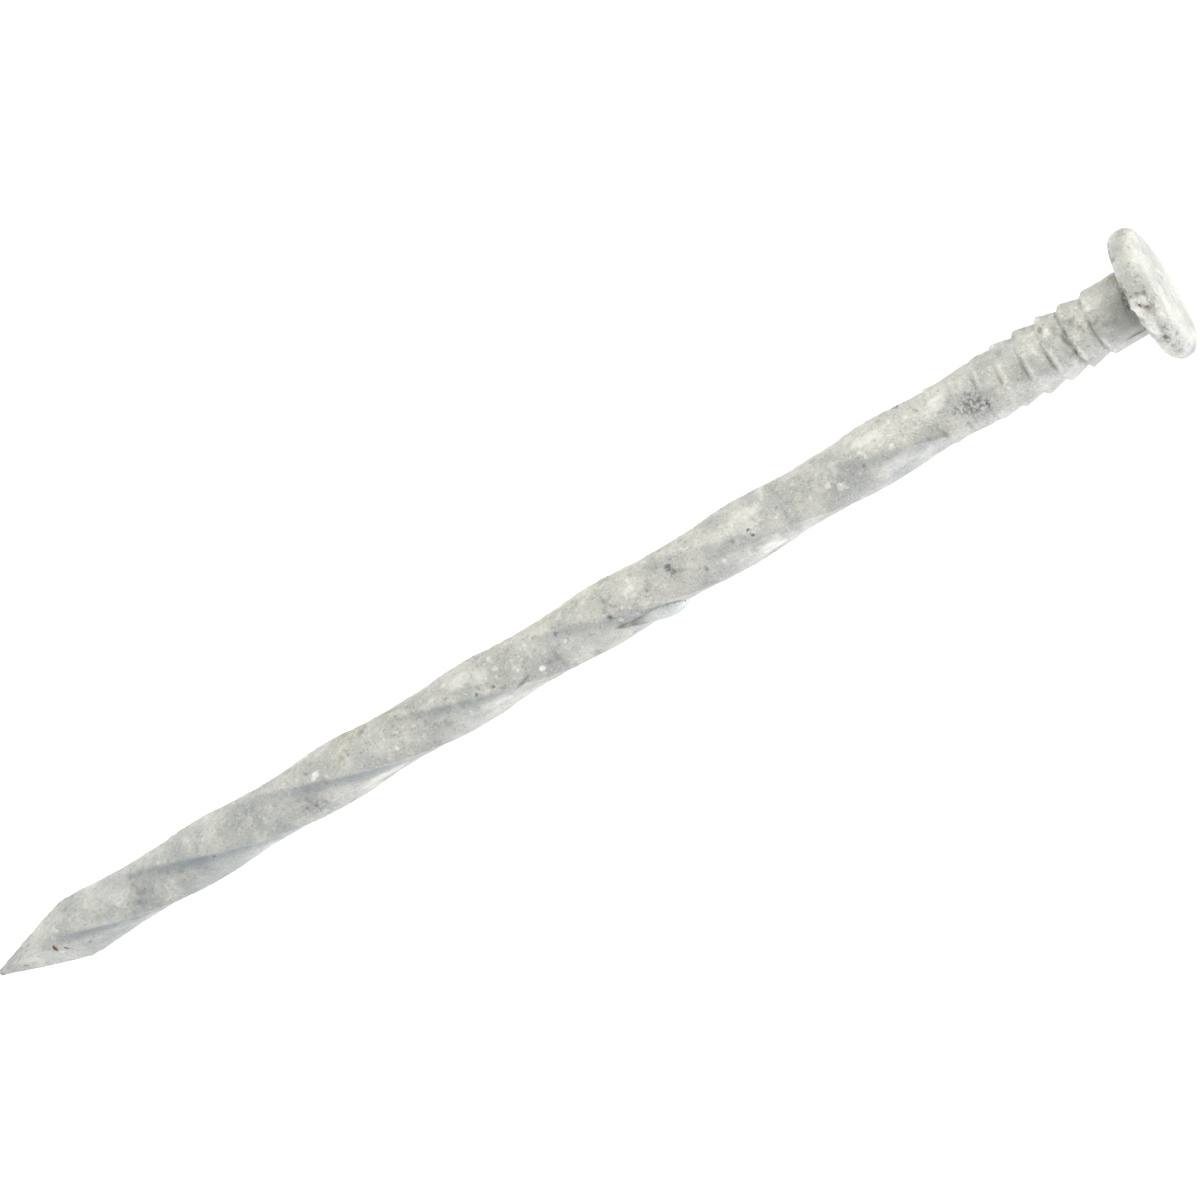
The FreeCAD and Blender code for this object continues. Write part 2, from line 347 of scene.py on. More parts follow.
def soft_min(first: np.ndarray, second: np.ndarray, blend: float) -> np.ndarray:
    """Smaller of two surfaces, rounded where they cross.

    Args:
        first: one surface's values.
        second: the other's.
        blend: width of the rounding, in the values' own unit.

    Returns:
        The blended smaller value.
    """
    overlap = np.clip(0.5 + 0.5 * (second - first) / blend, 0.0, 1.0)
    return second + (first - second) * overlap - blend * overlap * (1.0 - overlap)


def bell(value: np.ndarray, middle: float, spread: float) -> np.ndarray:
    """Hump that is 1 at the middle and fades over the spread on both sides."""
    return np.exp(-(((value - middle) / spread) ** 2))


def bearing_of(verts: np.ndarray) -> np.ndarray:
    """Bearing of each corner round the nail, in degrees from -180 to 180."""
    return np.degrees(np.arctan2(verts[:, 1], verts[:, 0]))


def swing(bearing: np.ndarray, start: float) -> np.ndarray:
    """Degrees from a bearing the short way round, -180 to 180."""
    return (bearing - start + 180.0) % 360.0 - 180.0


def rough(points: np.ndarray, size: float, seed: float) -> np.ndarray:
    """Smooth unevenness of one size at each point.

    Args:
        points: an array of places, in mm.
        size: about how far apart its humps are, in mm.
        seed: moves the pattern, so that two layers differ.

    Returns:
        One value from about -1 to 1 for each point.
    """
    shift = Vector((seed, seed * 1.7, -seed))
    return np.array([noise.noise(Vector(p) / size + shift) for p in points.tolist()])


def tube_faces(rows: int, columns: int, downward: bool = False) -> list[tuple[int, ...]]:
    """Faces between rings of corners that follow one another along a piece.

    Args:
        rows: how many rings there are.
        columns: how many corners each ring has.
        downward: whether the rings follow one another down the nail.

    Returns:
        The faces as corner numbers, turned outwards.
    """
    faces: list[tuple[int, ...]] = []
    for row in range(rows - 1):
        first, second = row * columns, (row + 1) * columns
        for column in range(columns):
            following = (column + 1) % columns
            face = (first + column, first + following, second + following, second + column)
            faces.append((face[0], face[3], face[2], face[1]) if downward else face)
    return faces


def new_object(name: str, verts: np.ndarray, faces: list[tuple[int, ...]]) -> bpy.types.Object:
    """Smooth-shaded mesh object from places in mm.

    Args:
        name: the piece's name.
        verts: its corners, in mm.
        faces: its faces, as corner numbers.

    Returns:
        The new object, linked into the scene.
    """
    mesh = bpy.data.meshes.new(name)
    mesh.from_pydata((verts * MM).tolist(), [], faces)
    mesh.validate()
    mesh.polygons.foreach_set("use_smooth", [True] * len(mesh.polygons))
    mesh.update()
    made = bpy.data.objects.new(name, mesh)
    bpy.context.scene.collection.objects.link(made)
    log.info("%s: %d faces", name, len(mesh.polygons))
    return made


def paint(piece: bpy.types.Object, painted_value: PaintedValue, values: np.ndarray) -> None:
    """Store one value per corner for the material to read.

    Args:
        piece: the mesh object.
        painted_value: which value it is.
        values: one number per corner.
    """
    layer = piece.data.attributes.new(painted_value.value, "FLOAT", "POINT")
    layer.data.foreach_set("value", values.astype(np.float32))


def add(tree: bpy.types.NodeTree, kind: str, inputs: dict[Any, Any] | None = None, **settings: Any) -> Any:
    """Add one node, set its options and fill its sockets.

    Args:
        tree: the node tree it goes in.
        kind: the node's type name.
        inputs: socket name or number to a value, or to another node's output.
        settings: the node's own options.

    Returns:
        The new node.
    """
    node = tree.nodes.new(kind)
    for key, value in settings.items():
        setattr(node, key, value)
    for key, value in (inputs or {}).items():
        if isinstance(value, bpy.types.NodeSocket):
            tree.links.new(value, node.inputs[key])
        else:
            node.inputs[key].default_value = value
    return node


# ------------------------------------------------------------------- finishes


@dataclass(frozen=True)
class Layer:
    """One tone laid over those before it, as strong as its value.

    The value is a cloudy pattern whose humps are size mm apart, a painted value (a stain,
    painted shade or a painted highlight), or one times the other. The ramp stretches its two
    numbers to 0 and 1. It works on the pattern alone, or on the whole value where ramp_all is set.
    """

    tone: str
    strength: float
    size: float | None = None
    detail: float = 3.0
    roughness: float = 0.6
    painted_value: PaintedValue | None = None
    ramp: tuple[float, float] = (0.0, 1.0)
    ramp_all: bool = False

    def value(self, tree: bpy.types.NodeTree, place: bpy.types.NodeSocket) -> Any:
        """Add the nodes that work out the layer's value.

        Args:
            tree: the material's node tree.
            place: the place on the piece.

        Returns:
            The output that carries the value, before the layer's strength.
        """
        stretch = {"From Min": self.ramp[0], "From Max": self.ramp[1]}
        value: Any = None
        if self.size is not None:
            cloud = {"Scale": 1 / (self.size * MM), "Detail": self.detail, "Roughness": self.roughness}
            value = add(tree, "ShaderNodeTexNoise", {"Vector": place, **cloud}).outputs["Fac"]
            if not self.ramp_all:
                inputs = {"Value": value, **stretch}
                ramp = add(tree, "ShaderNodeMapRange", inputs, interpolation_type="SMOOTHSTEP")
                value = ramp.outputs["Result"]
        if self.painted_value is not None:
            painted = add(tree, "ShaderNodeAttribute", attribute_name=self.painted_value.value).outputs["Fac"]
            if value is None:
                value = painted
            else:
                both = {0: painted, 1: value}
                value = add(tree, "ShaderNodeMath", both, operation="MULTIPLY").outputs[0]
        if self.ramp_all:
            inputs = {"Value": value, **stretch}
            ramp = add(tree, "ShaderNodeMapRange", inputs, interpolation_type="SMOOTHSTEP")
            value = ramp.outputs["Result"]
        return value


@dataclass(frozen=True)
class ZincFinish:
    """Hot-dip zinc: a dull, pebbled grey metal with mottled tone.

    The light tone is fresh zinc, the cool one is where the skin has dulled, and the
    warm one is the faint yellowish chromate of a quenched bath. The patch, mottle and
    grain sizes are in mm, and so is the relief. The real grains are finer, and are
    drawn this coarse so that they show. A zinc skin is part metal and part dull
    oxide, so it is a little over half metallic.
    """

    name: str
    light: str = "#C3C3C1"
    cool: str = "#A6A9AA"
    warm: str = "#B9B7AD"
    # Dark grain tone, also used for the painted shade in the hollows of the relief.
    speck: str = "#727675"
    pale: str = "#F0F1EE"
    # Tone of the painted highlight on the high spots of the relief.
    crest: str = "#ECEDEA"
    # Tone of the painted highlights.
    shine: str = "#F0F1EF"
    chromate: str = "#958B72"
    # Tone of the painted shade beside the edges, near the point and on the head.
    film: str = "#878F94"
    # Tone of the painted shade in the ring feet, under the head and around the run.
    corner_shade: str = "#767870"
    rust: str = "#6E4A22"
    # Tone of the soot, the darker pits and the painted shade under the head.
    soot_and_shade: str = "#5E666A"
    metal: float = 0.55
    roughness: float = 0.52
    glossier: float = 0.1
    duller: float = 0.14
    patch: float = 1.9
    mottle: float = 0.42
    grain: float = 0.13
    relief: float = 0.06
    pebbles: float = 0.7
    orange_peel: float = 0.8
    painted: bool = True

    def layers(self) -> tuple[Layer, ...]:
        """Tones of the zinc, from the bare crystals outwards.

        Returns:
            The layers, in the order they are laid.
        """
        # Patches, crystals and grains of different tone. They make the metal read as
        # frozen zinc and not as grey paint.
        crystals = (
            Layer(self.light, 1.0, self.patch, 3.0, 0.55, ramp=(0.36, 0.64)),
            Layer(self.warm, 0.45, self.mottle, 4.0, 0.65, ramp=(0.32, 0.68)),
            Layer(self.speck, 0.6, self.grain, ramp=(0.56, 0.72)),
            Layer(self.pale, 0.45, self.grain, ramp=(0.44, 0.28)),
        )
        if not self.painted:
            return crystals
        # Painted shade in the hollows of the relief and a painted highlight on its high spots,
        # then painted highlights, chromate, painted shade, soot with darker pits and painted
        # shade, and rust, in places. The stains make the nail read as a little weathered.
        return crystals + (
            Layer(self.speck, 0.6, painted_value=PaintedValue.HEIGHT, ramp=(-0.1, -1.1), ramp_all=True),
            Layer(self.crest, 0.5, painted_value=PaintedValue.HEIGHT, ramp=(0.2, 1.1), ramp_all=True),
            Layer(self.shine, 0.75, 0.5, 4.0, 0.6, PaintedValue.PAINTED_HIGHLIGHT, (0.25, 0.50)),
            Layer(self.chromate, 0.7, 0.35, 4.0, 0.7, PaintedValue.WARM, (0.34, 0.62)),
            Layer(self.film, 0.64, painted_value=PaintedValue.PAINTED_SHADE),
            Layer(self.corner_shade, 0.68, painted_value=PaintedValue.CORNER_SHADE),
            Layer(self.soot_and_shade, 1.0, 0.2, 3.0, 0.7, PaintedValue.SOOT_AND_SHADE, (0.42, 0.58)),
            Layer(self.rust, 1.0, 0.24, 3.0, 0.7, PaintedValue.RUST, (0.30, 0.42), ramp_all=True),
        )

    def make(self) -> bpy.types.Material:
        """Build the material.

        Returns:
            The finished zinc material.
        """
        material = bpy.data.materials.new(self.name)
        material.use_nodes = True
        tree = material.node_tree
        shader = tree.nodes["Principled BSDF"]
        place = add(tree, "ShaderNodeTexCoord").outputs["Object"]
        colour: Any = linear(self.cool)
        values = []
        for layer in self.layers():
            values.append(layer.value(tree, place))
            share = add(tree, "ShaderNodeMath", {0: values[-1], 1: layer.strength}, operation="MULTIPLY")
            tones = {0: share.outputs[0], 6: colour, 7: linear(layer.tone)}
            colour = add(tree, "ShaderNodeMix", tones, data_type="RGBA").outputs[2]
        tree.links.new(colour, shader.inputs["Base Color"])

        # The crystals of the mottle differ in gloss too, so the light breaks up on them.
        span = {"To Min": self.roughness - self.glossier, "To Max": self.roughness + self.duller}
        gloss = add(tree, "ShaderNodeMapRange", {"Value": values[1], **span})
        tree.links.new(gloss.outputs["Result"], shader.inputs["Roughness"])
        shader.inputs["Metallic"].default_value = self.metal

        # Two sizes of relief: the grains of the skin, stronger where it is rough, and
        # the finer orange-peel on them. They keep its gloss from looking wet.
        strength: Any = self.pebbles
        if self.painted:
            strength = add(tree, "ShaderNodeAttribute", attribute_name=PaintedValue.ROUGH.value).outputs["Fac"]
        normal: Any = None
        for size, deep, force in ((2.0, 2.6, strength), (1.0, 1.0, self.orange_peel)):
            cloud = {"Scale": 1 / (self.grain * size * MM), "Detail": 3.0, "Roughness": 0.6}
            grains = add(tree, "ShaderNodeTexNoise", {"Vector": place, **cloud}).outputs["Fac"]
            relief = {"Height": grains, "Distance": self.relief * deep * MM, "Strength": force}
            if normal is not None:
                relief["Normal"] = normal
            normal = add(tree, "ShaderNodeBump", relief).outputs["Normal"]
        tree.links.new(normal, shader.inputs["Normal"])
        return material


@dataclass(frozen=True)
class SteelFinish:
    """Bare drawn steel under the zinc, faintly streaked along the wire."""

    name: str = "drawn_steel"
    light: str = "#9C9A96"
    dark: str = "#77756F"
    streak_width: float = 0.25
    streak_length: float = 8.33
    roughness: float = 0.45

    def make(self) -> bpy.types.Material:
        """Build the material.

        Returns:
            The finished steel material.
        """
        material = bpy.data.materials.new(self.name)
        material.use_nodes = True
        tree = material.node_tree
        shader = tree.nodes["Principled BSDF"]
        place = add(tree, "ShaderNodeTexCoord").outputs["Object"]
        # The die's marks run along the wire, so the pattern is stretched along Z. They
        # make the metal read as drawn wire and not as cast.
        around, along = 1 / (self.streak_width * MM), 1 / (self.streak_length * MM)
        stretched = add(tree, "ShaderNodeMapping", {"Vector": place, "Scale": (around, around, along)})
        marks = add(tree, "ShaderNodeTexNoise", {"Vector": stretched.outputs[0], "Scale": 1.0, "Detail": 3.0})
        tones = {0: marks.outputs["Fac"], 6: linear(self.dark), 7: linear(self.light)}
        colour = add(tree, "ShaderNodeMix", tones, data_type="RGBA").outputs[2]
        tree.links.new(colour, shader.inputs["Base Color"])
        shader.inputs["Metallic"].default_value = 1.0
        shader.inputs["Roughness"].default_value = self.roughness
        return material


@dataclass(frozen=True)
class CardFinish:
    """White matt card under the nail. It takes the soft light and shows no gloss."""

    name: str = "matt_card"
    tone: str = "#FFFFFF"
    roughness: float = 0.9
    specular: float = 0.1

    def make(self) -> bpy.types.Material:
        """Build the material.

        Returns:
            The finished card material.
        """
        material = bpy.data.materials.new(self.name)
        material.use_nodes = True
        shader = material.node_tree.nodes["Principled BSDF"]
        shader.inputs["Base Color"].default_value = linear(self.tone)
        shader.inputs["Roughness"].default_value = self.roughness
        shader.inputs["Specular IOR Level"].default_value = self.specular
        return material


# ------------------------------------------------------------------- the nail


@dataclass
class ZincSkin:
    """The whole outside of the nail: head, neck, grip rings, twisted shank, point."""

    shank: ShankSizes = field(default_factory=ShankSizes)
    grip: GripSizes = field(default_factory=GripSizes)
    head: HeadSizes = field(default_factory=HeadSizes)
    relief: SkinRelief = field(default_factory=SkinRelief)
    edges: EdgeSizes = field(default_factory=EdgeSizes)
    film: PaintedShadeSizes = field(default_factory=PaintedShadeSizes)
    ring_light: RingLightSizes = field(default_factory=RingLightSizes)
    scatter: ScatterSizes = field(default_factory=ScatterSizes)

    def turn(self, level: np.ndarray) -> np.ndarray:
        """Degrees that the section stands turned at each level."""
        return self.shank.turn_at_head + 360.0 * level / self.shank.pitch

    def off_flat(self, bearing: np.ndarray, level: np.ndarray) -> np.ndarray:
        """Degrees from the middle of the nearest flat: 0 on a flat, 45 on an edge."""
        return np.abs((bearing - self.turn(level) + 45.0) % 90.0 - 45.0)

    def past_edge(self, bearing: np.ndarray, level: np.ndarray) -> np.ndarray:
        """Degrees past the nearest edge, -45 to 45."""
        return (bearing - self.turn(level)) % 90.0 - 45.0

    def pinch(self, radius: np.ndarray, bearing: np.ndarray, level: np.ndarray) -> np.ndarray:
        """Cut the wire's radius back to the four facets of the point.

        Args:
            radius: the wire's radius at each place, in mm.
            bearing: the places' bearings.
            level: the places' levels.

        Returns:
            The radius of the pinched wire.
        """
        s = self.shank
        rise = level + s.length
        facet = s.facet_start + rise * math.tan(math.radians(s.facet_angle))
        facing = 0.2  # a facet that a place faces less than this can't cut it
        for middle in (s.facet_spread, -s.facet_spread, 180 - s.facet_spread, 180 + s.facet_spread):
            away = np.cos(np.radians(bearing - middle))
            plane = np.where(away > facing, facet / np.maximum(away, facing), CLEAR)
            radius = soft_min(radius, plane, s.facet_blend)
        return radius

    def tooth(self, level: np.ndarray) -> np.ndarray:
        """Saw-tooth radius of the grip rings and the neck.

        Args:
            level: the levels where it is wanted.

        Returns:
            The radius at each level, in mm. Below the last ring it is past the wire.
        """
        g = self.grip
        last = len(g.crests)
        heights = [g.foot(last) - 0.01, g.foot(last)]
        radii = [CLEAR, g.root_at(last)]
        for number in range(last, 0, -1):
            heights += [g.foot(number) + g.step, g.foot(number - 1)]
            radii += [g.crests[number - 1], g.root_at(number - 1)]
        heights += [g.foot(0) + g.step, 0.0]
        radii += [g.neck_radius, g.neck_radius]
        return np.interp(level, heights, radii)

    def stock(self, bearing: np.ndarray, level: np.ndarray) -> np.ndarray:
        """Reach of the gripped length, which swells a little towards the neck.

        Args:
            bearing: the places' bearings.
            level: the places' levels.

        Returns:
            The distance from the axis at each place, in mm.
        """
        g = self.grip
        swelling = g.swelling * smooth_step(g.foot(5), g.foot(2), level)
        return g.stock.reach(self.off_flat(bearing, level)) + swelling

    def gripped(self, radius: np.ndarray, bearing: np.ndarray, level: np.ndarray) -> np.ndarray:
        """Raise the grip rings: on the edges only, but all round nearest the neck.

        Args:
            radius: the wire's radius at each place, in mm.
            bearing: the places' bearings.
            level: the places' levels.

        Returns:
            The radius of the gripped wire.
        """
        g = self.grip
        around = np.radians(bearing)
        places = np.stack([2 * np.cos(around), 2 * np.sin(around), level], axis=-1).reshape(-1, 3)
        near = places[:, 2] > g.foot(len(g.crests) + 1)
        wander = np.zeros(len(places))
        wander[near] = rough(places[near], g.wander_size, 17.0) * g.wander
        tooth = self.tooth(level + wander.reshape(level.shape))
        stock = np.maximum(radius, self.stock(bearing, level))
        gripped = np.minimum(tooth, np.where(level > g.foot(len(g.crests)), stock, radius))
        beside = bell(swing(bearing, g.flash_bearing), 0.0, g.flash_spread)
        flash = g.flash_height * beside * smooth_step(g.flash_foot, g.flash_full, level)
        return np.where(level >= g.foot(1), np.maximum(radius, tooth) + flash, gripped)

    def rows(self) -> tuple[np.ndarray, np.ndarray]:
        """Levels of the shank's rows, closer together at each ring's step.

        Returns:
            The levels from the point up to the neck's blend, and the head's profile
            from there to the middle of its top, as radius and level pairs.
        """
        s, g, h = self.shank, self.grip, self.head
        levels = list(np.arange(-s.length, -h.neck_blend, s.row_step))
        for number in range(len(g.crests) + 1):
            levels += list(g.foot(number) + g.step * np.linspace(-0.2, 1.4, s.ring_rows))
        levels = np.unique(np.round(np.array(levels), 3))
        quarter = np.linspace(0, math.pi / 2, h.arc_rows)
        inner = h.radius - h.rim
        ledge = h.radius - h.under_rim
        blend = g.neck_radius + h.neck_blend * (1 - np.cos(quarter[::2]))
        blend = np.stack([blend, -h.neck_blend * (1 - np.sin(quarter[::2]))], axis=-1)
        under = np.arange(g.neck_radius + h.neck_blend + h.row_step, ledge, h.row_step)
        under = np.stack([under, np.zeros(len(under))], axis=-1)
        low = ledge + h.under_rim * np.sin(quarter)
        low = np.stack([low, h.under_rim * (1 - np.cos(quarter))], axis=-1)
        side = np.array([[h.radius, level] for level in h.side])
        high = inner + h.rim * np.cos(quarter)
        high = np.stack([high, h.thickness - h.rim * (1 - np.sin(quarter))], axis=-1)
        top = np.arange(inner - h.row_step, 0.05, -h.row_step)
        top = np.stack([top, h.thickness + h.dome * (1 - (top / inner) ** 2)], axis=-1)
        return levels, np.vstack([blend, under, low, side, high, top])

    def upset(self, verts: np.ndarray) -> np.ndarray:
        """Shift and tilt the head a little, as the forging left it.

        Args:
            verts: the true-running form's corners, in mm.

        Returns:
            The corners with those of the head moved.
        """
        h = self.head
        reach = np.hypot(verts[:, 0], verts[:, 1])
        share = smooth_step(self.grip.neck_radius, self.grip.neck_radius + h.flare, reach)
        share = np.where(verts[:, 2] > 0.01, 1.0, share) * (verts[:, 2] > -h.neck_blend)
        lift = smooth_step(self.grip.neck_radius + h.neck_blend, h.radius - h.under_rim, reach)
        lift = lift * (1.0 - smooth_step(*h.lifted, verts[:, 2]))
        out = verts.copy()
        out[:, 2] += h.lift * lift * (verts[:, 2] > -0.01)
        out[:, 0] += share * h.shift
        out[:, 2] -= share * verts[:, 0] * math.tan(math.radians(h.tilt))
        return out

    def form(self) -> tuple[np.ndarray, list[tuple[int, ...]]]:
        """Smooth form of the skin.

        Returns:
            Its corners in mm, and its faces.
        """
        levels, profile = self.rows()
        count = self.shank.columns
        bearings = np.linspace(0.0, 360.0, count, endpoint=False)
        bearing, level = np.meshgrid(bearings, levels)
        radius = self.shank.wire.reach(self.off_flat(bearing, level))
        radius = self.gripped(radius, bearing, level)
        radius = self.pinch(radius, bearing, level)
        head_bearing, head_radius = np.meshgrid(bearings, profile[:, 0])
        head_level = np.repeat(profile[:, 1:2], count, axis=1)
        angle = np.radians(np.vstack([bearing, head_bearing]))
        radius = np.vstack([radius, head_radius])
        level = np.vstack([level, head_level])
        grid = np.stack([radius * np.cos(angle), radius * np.sin(angle), level], axis=-1)
        foot = np.array([[0.0, 0.0, -self.shank.length]])
        crown = np.array([[0.0, 0.0, self.head.thickness + self.head.dome]])
        verts = self.upset(np.vstack([grid.reshape(-1, 3), foot, crown]))
        faces = tube_faces(len(level), count)
        last = (len(level) - 1) * count
        point, middle = len(level) * count, len(level) * count + 1
        for column in range(count):
            following = (column + 1) % count
            faces.append((following, column, point))
            faces.append((last + column, last + following, middle))
        return verts, faces

    def painted_ring_light(self, verts: np.ndarray) -> tuple[np.ndarray, np.ndarray]:
        """Painted shade in the feet of the rings and under the head, and painted highlights on their crests.

        Args:
            verts: the skin's corners, in mm.

        Returns:
            The painted shade and the painted highlight of each corner, 0 to 1.
        """
        g, w = self.grip, self.ring_light
        level, bearing = verts[:, 2], bearing_of(verts)
        reach = np.hypot(verts[:, 0], verts[:, 1])
        off = self.off_flat(bearing, level)
        stock = np.maximum(self.shank.wire.reach(off), self.stock(bearing, level))
        dark, painted_highlight = np.zeros(len(verts)), np.zeros(len(verts))
        side = w.least + (1 - w.least) * bell(bearing, w.bearing, w.spread)
        beside = smooth_step(*w.edge, off) * side
        for number in range(len(g.crests) + 1):
            foot = g.foot(number)
            crest = float(self.tooth(np.array(foot + g.step)))
            limit = stock if number >= w.seam_rings else CLEAR
            lip = np.minimum(crest, limit) - np.minimum(g.root_at(number), limit)
            ticks = np.clip(lip / w.full_lip, 0.0, 1.0) * beside
            seam_share = w.seam_share if number < w.seam_rings else 0.0
            seam = np.clip(lip / w.full_seam, 0.0, 1.0) * seam_share
            # Painted shade in the ring's foot and a painted highlight on its crest.
            in_foot = bell(level, foot + w.dark_rise, w.width)
            on_crest = bell(level, foot + g.step + w.highlight_rise, w.width)
            dark = np.maximum(dark, np.maximum(ticks, seam) * in_foot)
            painted_highlight = np.maximum(painted_highlight, ticks * on_crest)
        # Painted shade on the neck in the corner under the head, on the front side.
        facing = bell(bearing, w.corner_bearing, w.corner_spread)
        corner = bell(level, 0.0, w.corner_height) * (reach < w.corner_radius) * (level < 0.1)
        return np.maximum(dark, corner * facing), w.shine * painted_highlight

    def shaded(self, verts: np.ndarray) -> np.ndarray:
        """Painted shade in the hollow beside each edge, near the point and on the head.

        Args:
            verts: the skin's corners, in mm.

        Returns:
            The painted shade's strength at each corner.
        """
        f = self.film
        level, bearing = verts[:, 2], bearing_of(verts)
        past = self.past_edge(bearing, level)
        beside = smooth_step(*f.rise, past) * (1.0 - smooth_step(*f.fall, past))
        near = bell(bearing, f.near_bearing, f.near_spread)
        far = f.far_share * bell(bearing, f.far_bearing, f.far_spread)
        shank = smooth_step(*f.foot, level) * (1.0 - smooth_step(*f.top, level))
        fading = 1.0 - f.fade_share * smooth_step(*f.fade, level)
        # Painted shade that grows towards the point, and a little on the head's top.
        tip_and_crown_shade = f.tip_share * smooth_step(*f.tip, level) + f.crown_share * smooth_step(*f.crown, level)
        tip_and_crown_shade = tip_and_crown_shade * (1.0 + f.uneven_share * rough(verts, f.uneven_size, 83.0))
        return beside * (near + far) * shank * fading + tip_and_crown_shade

    def ridge(self, verts: np.ndarray) -> np.ndarray:
        """Height of the slight bead on each edge and of the hollow beside it.

        Args:
            verts: the skin's corners, in mm.

        Returns:
            The height at each corner, in mm.
        """
        e = self.edges
        level = verts[:, 2]
        past = self.past_edge(bearing_of(verts), level)
        bead = e.bead * bell(past, 0.0, e.bead_spread)
        bead = bead - e.hollow * bell(past, e.hollow_past, e.hollow_spread)
        return bead * smooth_step(*e.foot, level) * (1.0 - smooth_step(*e.top, level))

    def build(self) -> bpy.types.Object:
        """Make the skin, with its unevenness, marks and painted values.

        Returns:
            The skin's object.
        """
        verts, faces = self.form()
        piece = new_object("zinc_skin", verts, faces)
        normals = np.empty(len(verts) * 3, dtype=np.float32)
        piece.data.vertices.foreach_get("normal", normals)
        normals = normals.reshape(-1, 3)

        height, paints = self.unevenness(verts)
        verts = verts + normals * height[:, None]
        piece.data.vertices.foreach_set("co", (verts * MM).astype(np.float32).ravel())
        piece.data.update()

        # Painted shade and painted highlights on the rings, painted shade beside the edges, then the listed
        # spots.
        dark, painted_highlight = self.painted_ring_light(verts)
        ring_shade_and_highlight = {PaintedValue.CORNER_SHADE: dark, PaintedValue.PAINTED_HIGHLIGHT: painted_highlight}
        paints[PaintedValue.PAINTED_SHADE] = self.shaded(verts)
        for painted_value, spots in STAINS_AND_PAINTED_LIGHT.items():
            paints[painted_value] = np.maximum(self.spread(verts, spots), ring_shade_and_highlight.get(painted_value, 0.0))
        for painted_value, values in paints.items():
            paint(piece, painted_value, values)
        return piece

    def unevenness(self, verts: np.ndarray) -> tuple[np.ndarray, dict[PaintedValue, np.ndarray]]:
        """Unevenness of the frozen zinc, with its wrinkles, crusts, pimples and pits.

        Args:
            verts: the smooth form's corners, in mm.

        Returns:
            The height at each corner, in mm, and the painted values that follow it.
        """
        r = self.relief
        side = np.radians(bearing_of(verts) - r.rough_side)
        patchy = rough(verts, r.patch_size, 7.7) + r.rough_side_share * np.cos(side)
        patchy = smooth_step(*r.patch_ramp, patchy)
        sag = rough(verts, r.sag_size, 3.1) * r.sag_height
        lump = rough(verts, r.lump_size, 11.3) * r.lump_height
        pebble = rough(verts, r.pebble_size, 23.9) * r.pebble_height * (r.least_pebble + patchy)
        pebble += rough(verts, r.grit_size, 41.3) * r.grit_height * (r.least_grit + patchy)
        # A wrinkle's line is where its noise crosses zero, broken up by a wider noise.
        line = np.abs(rough(verts, r.wrinkle_size, 53.0)) / r.wrinkle_width
        wrinkle = 1.0 - np.minimum(line, 1.0)
        wrinkle *= smooth_step(*r.wrinkle_breaks, rough(verts, r.wrinkle_size * 1.4, 71.0))
        wrinkle *= r.least_wrinkle * patchy + self.spread(verts, WRINKLES)
        wrinkle *= r.wrinkle_height
        marks = self.marks(verts)
        crust = self.spread(verts, CRUSTS)
        crumbs = rough(verts, r.crust_size, 61.0) * r.crust_height
        crumbs = crumbs + rough(verts, r.crumb_size, 67.0) * r.crumb_height
        marks += crust * crumbs
        height = np.maximum(sag + lump + pebble + self.ridge(verts), r.deepest) + marks + wrinkle
        deepest = np.where(verts[:, 2] > -0.3, r.deepest_on_head, r.deepest_mark)
        # This painted relief height also sets the painted shade in the hollows and the painted highlight on
        # the high spots.
        seen = (lump + pebble + marks + 0.5 * wrinkle) / r.full_height
        coarse = np.clip(patchy + crust, 0.0, 1.5)
        return np.maximum(height, deepest), {PaintedValue.HEIGHT: np.clip(seen, -1.5, 1.5), PaintedValue.ROUGH: coarse}

    def spread(self, verts: np.ndarray, spots: tuple[Spot, ...]) -> np.ndarray:
        """Strength of a set of spots, each fading at its edge.

        Args:
            verts: the skin's corners, in mm.
            spots: the spots.

        Returns:
            The strongest spot's value at each corner.
        """
        bearing = bearing_of(verts)
        out = np.zeros(len(verts))
        for spot in spots:
            up = verts[:, 2] - spot.level
            across = swing(bearing, spot.bearing) * math.pi / 180.0
            across = across * np.hypot(verts[:, 0], verts[:, 1]) - spot.lean * up
            away = np.sqrt((up / spot.along) ** 2 + (across / spot.around) ** 2)
            out = np.maximum(out, spot.strength * (1.0 - smooth_step(*SPOT_EDGE, away)))
        return out

    def marks(self, verts: np.ndarray) -> np.ndarray:
        """Height of the pimples and pits.

        Args:
            verts: the skin's corners, in mm.

        Returns:
            The height at each corner, in mm.
        """
        out = np.zeros(len(verts))
        bearing = bearing_of(verts)
        radius = np.hypot(verts[:, 0], verts[:, 1])
        for mark in list(NOTED_MARKS) + self.scattered():
            near = np.abs(verts[:, 2] - mark.level) < 3 * mark.along
            up = verts[near, 2] - mark.level
            across = swing(bearing[near], mark.bearing) * math.pi / 180.0 * radius[near]
            away = (up / mark.along) ** 2 + (across / mark.around) ** 2
            out[near] += mark.strength * np.exp(-away * MARK_FALL)
        return out

    def scattered(self) -> list[Spot]:
        """Pimples and pits all over the shank and head, the same ones every time.

        Returns:
            The marks, with their heights in mm as strengths.
        """
        c = self.scatter
        draw = random.Random(c.seed)
        marks = []
        for _ in range(c.count):
            facing = Facing.PROUD if draw.random() < c.proud_share else Facing.SUNK
            size = draw.uniform(*c.half_size)
            height = facing.value * size * draw.uniform(*c.steepness)
            marks.append(Spot(draw.uniform(*c.levels), draw.uniform(0, 360), size, size, height))
        return marks

    def dress(self, piece: bpy.types.Object) -> None:
        """Give the skin its zinc and hang it on the frame.

        Args:
            piece: the skin's object.
        """
        piece.data.materials.append(ZincFinish("hot_dip_zinc").make())
        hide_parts("zinc_coat")
        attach(piece, "root")


